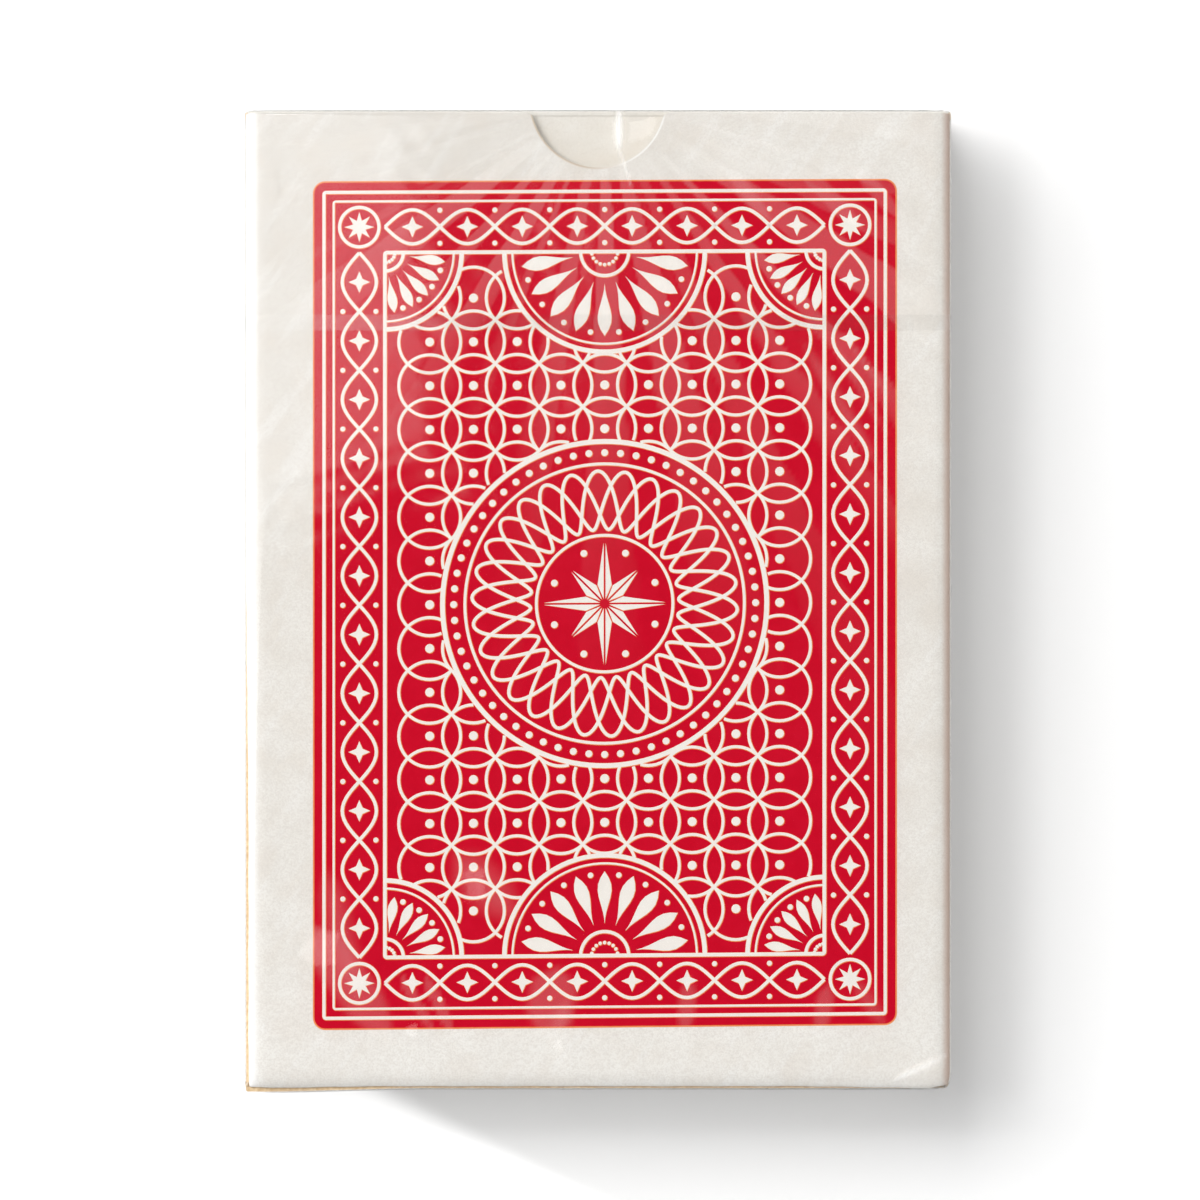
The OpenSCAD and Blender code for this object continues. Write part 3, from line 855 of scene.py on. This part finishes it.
def film_haze_and_painted_sheen(x, y):
    """The share of white diffuse on the film at each place: painted reflections along the fan's drawn
    wrinkles, painted veil patches and glint lines, and a faint even milkiness.
    """
    across, down = x - pucker[0], pucker[1] - y
    far = np.hypot(across, down)
    angle = np.degrees(np.arctan2(across, down)) + 0.25 * np.sin(0.9 * far + 0.3 * across)
    inside = np.clip(np.searchsorted(facet_turns, angle) - 1, 0, facets - 2)
    edge = np.minimum(angle - facet_turns[inside], facet_turns[inside + 1] - angle)
    fading = np.maximum(far - 9, 0) / (1.15 * np.interp(angle, facet_turns, facet_runs))
    drawn = facet_painted_sheen[inside] * eased(edge, 0.0, 0.5) * eased(far, 6.5, 9) * np.exp(-fading ** 2)
    painted_veil_share = painted_veil_level * np.clip(3 * ridges(x, y, painted_veils), 0, 1)
    painted_glint_share = np.minimum(ridges(x, y, painted_glints), 0.9)
    return np.where(np.abs(angle) < 88, drawn, 0.0) + painted_glint_share + painted_veil_share + haze_level


def film_section(columns, inset, left_inset):
    """The film's outline round the pack, drawn in by inset: x, z, which way is out, and what is front."""
    edge_z, soft_x = cap_high.z - film_soft[1], film_soft[0] - inset
    soft_z = film_soft[1] - inset
    bend_r = film_corner - inset
    right, left = cap_high.x - inset, left_inset - cap_high.x
    top, bottom = cap_high.z - inset, inset
    front = np.linspace(-film_flat, film_flat, columns)
    front = np.stack((front, np.full(columns, top), np.zeros(columns), np.ones(columns)), 1)[1:-1]
    corner = cap_high.x - film_corner
    parts = [
        fold_points(-film_flat, edge_z, film_soft[0] - left_inset, soft_z, 180, 90, 17, fullness), front,
        fold_points(film_flat, edge_z, soft_x, soft_z, 90, 0, 17, fullness),
        run_points((right, edge_z), (right, film_corner), 14, (1, 0)),
        fold_points(corner, film_corner, bend_r, bend_r, 0, -90, 8, 2),
        run_points((corner, bottom), (-corner, bottom), 32, (0, -1)),
        fold_points(-corner, film_corner, film_corner - left_inset, bend_r, -90, -180, 8, 2),
        run_points((left, film_corner), (left, edge_z), 14, (-1, 0))]
    facing_front = np.concatenate([np.full(len(part), k < 3) for k, part in enumerate(parts)])
    return (*np.concatenate(parts).T, facing_front)


def film_sheet(rows, columns, inset=0.0):
    """Rings of film points at the given places along the pack, and the faces between them."""
    points = []
    for y, drawn_in in rows:
        left_share = film_left_share if y < 0 else 1.0
        x, z, out_x, out_z, front = film_section(columns, drawn_in, left_share * drawn_in)
        girth = np.linspace(0, 150, len(x))
        at = np.full(len(x), y)
        flat = eased(film_flat - np.abs(x), 0.0, 2.0)
        flat = flat * eased(film_end - y, 0.0, 1.2) * eased(y, -44.8, -43.4)
        slack = np.minimum(0.5 * waves(girth, at, swells) - 0.02, -0.004)
        off = np.where(front, film_rise(x, at) * flat, slack) - inset
        at = at - np.where(y < -40, gape(x, z) * eased(-y, 44.0, 45.9), 0.0)
        points += list(zip(x + out_x * off, at, z + out_z * off))
    count = len(x)
    return points, ring_faces(len(rows), count), count


def end_rows(side):
    """The rows where the film bends round the end of the pack, with how far each is drawn in."""
    run, drop = top_bend if side > 0 else bottom_bend
    bend = np.radians((6, 14, 24, 36, 48, 60, 72, 81, 88))
    along = side * (film_end - run * (1 - np.sin(bend) ** (2 / fullness)))
    return list(zip(along, drop * (1 - np.cos(bend) ** (2 / fullness))))


def end_flap(corners, level, side):
    """One fold of the envelope: a sheet between four corners given as x and z, at its place in the stack."""
    (ax, az), (bx, bz), (cx, cz), (dx, dz) = corners
    wide, tall = 41, 9
    u, v = np.meshgrid(np.linspace(0, 1, wide), np.linspace(0, 1, tall))
    x = (1 - v) * ((1 - u) * ax + u * bx) + v * ((1 - u) * dx + u * cx)
    z = (1 - v) * ((1 - u) * az + u * bz) + v * ((1 - u) * dz + u * cz)
    lift = 0.012 * np.sin(0.7 * x + 5 * level) * np.sin(0.9 * z + 1.0)
    y = side * (film_end + level + lift) - (gape(x, z) if side < 0 else 0.0)
    points = np.stack((x.ravel(), y.ravel(), z.ravel()), 1).tolist()
    starts = [j * wide + i for j in range(tall - 1) for i in range(wide - 1)]
    faces = [(k, k + 1, k + wide + 1, k + wide) for k in starts]
    return points, faces if side < 0 else [face[::-1] for face in faces]


def film_finish(name):
    """Clear glossy film: it lets light straight through, reflects more at a slant and scatters a trace; its
    white diffuse share also holds painted reflections and glint lines and casts no shadow.
    """
    material, tree, surface, _, _ = new_finish(name, 0.5)
    tree.nodes.remove(surface)
    edge_on = wire(tree, "ShaderNodeLayerWeight", {"Blend": 0.5}).outputs["Facing"]
    share = calc("MULTIPLY_ADD", calc("POWER", edge_on, 5.0), 0.9, 0.03)
    haze_and_sheen = wire(tree, "ShaderNodeAttribute", attribute_name="haze_and_sheen").outputs["Fac"]
    # The white share, with its painted reflections, casts no shadow.
    shaded = tree.nodes.new("ShaderNodeLightPath").outputs["Is Shadow Ray"]
    haze_and_sheen = calc("MULTIPLY", haze_and_sheen, calc("SUBTRACT", 1.0, shaded))
    clear = wire(tree, "ShaderNodeBsdfTransparent", {"Color": (1, 1, 1, 1)}).outputs[0]
    milky_and_painted_sheen = wire(tree, "ShaderNodeBsdfDiffuse", {"Color": (0.97, 0.97, 0.965, 1)}).outputs[0]
    body = wire(tree, "ShaderNodeMixShader", {0: haze_and_sheen, 1: clear, 2: milky_and_painted_sheen}).outputs[0]
    shine = wire(tree, "ShaderNodeBsdfGlossy", {"Color": (1, 1, 1, 1), "Roughness": 0.05}).outputs[0]
    mixed = wire(tree, "ShaderNodeMixShader", {0: share, 1: body, 2: shine}).outputs[0]
    tree.links.new(mixed, tree.nodes["Material Output"].inputs["Surface"])
    return material


def film_piece(name, sheets, thickness, finish, body, haze_and_sheen=None):
    """Joins sheets of film into one piece of even thickness; its white share is even, or, if None, drawn on
    the front with painted reflections and glint lines.
    """
    points, faces = [], []
    for sheet_points, sheet_faces in sheets:
        faces += [[len(points) + i for i in face] for face in sheet_faces]
        points += sheet_points
    made = piece_of(name, points, faces)
    made.data.materials.append(finish)
    x, y, z = np.array(points).T
    if haze_and_sheen is None:
        haze_and_sheen_share = np.where(z > cap_high.z - 1.2, film_haze_and_painted_sheen(x, y), haze_level)
    else:
        haze_and_sheen_share = np.full(len(x), haze_and_sheen)
    made.data.attributes.new("haze_and_sheen", "FLOAT", "POINT").data.foreach_set("value", haze_and_sheen_share)
    wall = made.modifiers.new("wall", "SOLIDIFY")
    wall.thickness = thickness * mm
    wall.offset = -1
    made_mesh(made)
    made.data.shade_smooth()
    made.data.set_sharp_from_angle(angle=math.radians(50))
    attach(made, body)
    return made


ear_l = 8
flap_taper = 11
low_flap_z, high_flap_z = 11.4, 7.2
end_levels = (0.03, 0.06, 0.09)
clear_film = film_finish("clear_film")
for name, node, side, tear, step, columns, body in (
        ("film_cap_wrap", "film_cap", 1, cap_low.y, 0.2, 300, "film_top"),
        ("film_sleeve_wrap", "film_sleeve", -1, sleeve_high.y, 0.46, 170, "film_lower")):
    run, drop = top_bend if side > 0 else bottom_bend
    last = side * (film_end - run)
    rows = [(y, 0.0) for y in np.linspace(tear, last, 2 + int(abs(last - tear) / step))] + end_rows(side)
    points, faces, count = film_sheet(rows, columns)
    faces.append(tuple(range(len(points) - count, len(points))))
    if side < 0:
        faces = [face[::-1] for face in faces]
    reach, base, head = cap_high.x - drop - 0.3, drop + 0.1, cap_high.z - drop - 0.1
    middle = cap_high.z / 2
    sheets = [(points, faces)]
    for sx in (-1, 1):
        tip_x = sx * (reach - ear_l)
        ear = [(sx * reach, base), (tip_x, middle - 1), (tip_x, middle + 1), (sx * reach, head)]
        sheets.append(end_flap(ear[::sx], end_levels[0], side))
    slope = reach - flap_taper
    sheets.append(end_flap([(-reach, base), (reach, base), (slope, low_flap_z), (-slope, low_flap_z)],
                           end_levels[1], side))
    sheets.append(end_flap([(-slope, high_flap_z), (slope, high_flap_z), (reach, head), (-reach, head)],
                           end_levels[2], side))
    wrap = film_piece(name, sheets, film_t, clear_film, body)
    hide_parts(node)

# Tear strip
# A narrow tape of the same film, a little milky, sealed inside the cap along the tear line.
# It runs all round the pack and shows as two fine lines.
strip_haze = 0.006
strip_rows = [(cap_low.y + strip_w * k / 4, 0.0) for k in range(5)]
points, faces, _ = film_sheet(strip_rows, 190, film_t + 0.005)
film_piece("tear_strip", [(points, faces)], strip_t, clear_film, "film_top", strip_haze)

# Floor, light and camera
# A pale sheet under the pack, a softbox at the upper left that the film mirrors, a high key lamp behind it
# for the shadows, and two small bright spots for the glints. The lens looks straight down from far away.
floor_half = 2.0
floor_glow = 0.15
# Painted light: past a line by the lower left corner the floor glows more for the camera, which clears the
# pack's shadow there.
bright_edge = (-21.3, -46.89)
bright_way = (0.455, 0.89)
bright_soft = 1.5
bright_end = (-62.0, -56.0)
bright_glow = 0.45
camera_height = 0.9
frame_width = 112.5 * mm
view_shift = (0.19 * mm, -0.02 * mm)
light_side = (-0.86, 0.5)
box_turn = math.radians(10)
box_across = (-0.80, -0.02)
box_along = (0.0285, 0.56)
box_height = 0.9
wall_level = 0.8
wall_tilt = 0.4
box_level = 1.45
key_spot = (-2.15, 1.85, 3.6)
key_size = (3.7, 2.1)
key_level = 5.0
hot_spots = ((-0.37, 0.12, 0.2, 0.26), (-0.106, 0.261, 0.1, 0.1))
hot_level = 9.0

floor = piece_of("floor", [(sx * floor_half / mm, sy * floor_half / mm, 0) for sx, sy in
                           ((-1, -1), (1, -1), (1, 1), (-1, 1))], [(0, 1, 2, 3)])
sheet, tree, surface, place, _ = new_finish("pale_sheet", 0.9, 0.0)
surface.inputs["Base Color"].default_value = (0.9, 0.9, 0.9, 1)
seen = tree.nodes.new("ShaderNodeLightPath").outputs["Is Camera Ray"]
at = wire(tree, "ShaderNodeSeparateXYZ", {0: place}).outputs
# Painted light on the floor: the patch by the lower left corner glows more, over the pack's shadow.
past = calc("MULTIPLY_ADD", at[0], bright_way[0], calc("MULTIPLY", at[1], bright_way[1]))
edge = (bright_edge[0] * bright_way[0] + bright_edge[1] * bright_way[1]) * mm
bright = ramp(past, edge + bright_soft * mm, edge - bright_soft * mm)
bright = calc("MULTIPLY", bright, ramp(at[1], bright_end[0] * mm, bright_end[1] * mm))
glow_level = calc("MULTIPLY", seen, calc("MULTIPLY_ADD", bright, bright_glow, floor_glow))
glow = wire(tree, "ShaderNodeEmission", {"Color": (1, 1, 1, 1), "Strength": glow_level})
both = wire(tree, "ShaderNodeAddShader", {0: surface.outputs[0], 1: glow.outputs[0]})
tree.links.new(both.outputs[0], tree.nodes["Material Output"].inputs["Surface"])
floor.data.materials.append(sheet)

world = bpy.data.worlds.new("studio")
world.use_nodes = True
bpy.context.scene.world = world
tree = world.node_tree
direction = tree.nodes.new("ShaderNodeTexCoord").outputs["Generated"]
heading = wire(tree, "ShaderNodeSeparateXYZ", {0: direction}).outputs
wall = ramp(heading[2], 0.93, 0.55)
toward_box = calc("MULTIPLY_ADD", heading[0], light_side[0],
                  calc("MULTIPLY", heading[1], light_side[1]))
wall_light = calc("MULTIPLY", wall, calc("MULTIPLY_ADD", toward_box, wall_tilt, wall_level))
path = tree.nodes.new("ShaderNodeLightPath").outputs
mirrored = calc("MAXIMUM", path["Is Glossy Ray"], path["Is Transmission Ray"])
mirrored = calc("MULTIPLY", mirrored, wall)
seen = calc("MAXIMUM", path["Is Camera Ray"], mirrored)
tree.links.new(calc("MAXIMUM", wall_light, seen), tree.nodes["Background"].inputs["Strength"])
tree.nodes["Background"].inputs["Color"].default_value = (1, 1, 1, 1)


def lamp(name, x, y, z, size, turn, radiance, mirrored=True):
    """A flat rectangular lamp above the pack that shines straight down with an even brightness."""
    light = bpy.data.lights.new(name, "AREA")
    light.shape = "RECTANGLE"
    light.size, light.size_y = size
    light.energy = radiance * math.pi * size[0] * size[1]
    lit = bpy.data.objects.new(name, light)
    lit.location = (x, y, z)
    lit.rotation_euler = (0, 0, turn)
    lit.visible_glossy = mirrored
    bpy.context.scene.collection.objects.link(lit)


mid_u, mid_v = sum(box_across) / 2, sum(box_along) / 2
c, s = math.cos(box_turn), math.sin(box_turn)
lamp("softbox", c * mid_u - s * mid_v, s * mid_u + c * mid_v, box_height,
     (box_across[1] - box_across[0], box_along[1] - box_along[0]), box_turn, box_level)
lamp("key", *key_spot, key_size, 0.0, key_level, False)
for k, (x, y, wide, tall) in enumerate(hot_spots):
    lamp(f"hot_spot_{k}", x, y, box_height, (wide, tall), 0.0, hot_level)

lens = bpy.data.cameras.new("lens")
lens.sensor_width = 36
lens.lens = 36 * camera_height / frame_width
camera = bpy.data.objects.new("camera", lens)
camera.location = (*view_shift, front_z * mm + camera_height)
bpy.context.scene.collection.objects.link(camera)
bpy.context.scene.camera = camera
bpy.context.scene.view_settings.view_transform = "Standard"
bpy.context.scene.cycles.transparent_max_bounces = 48
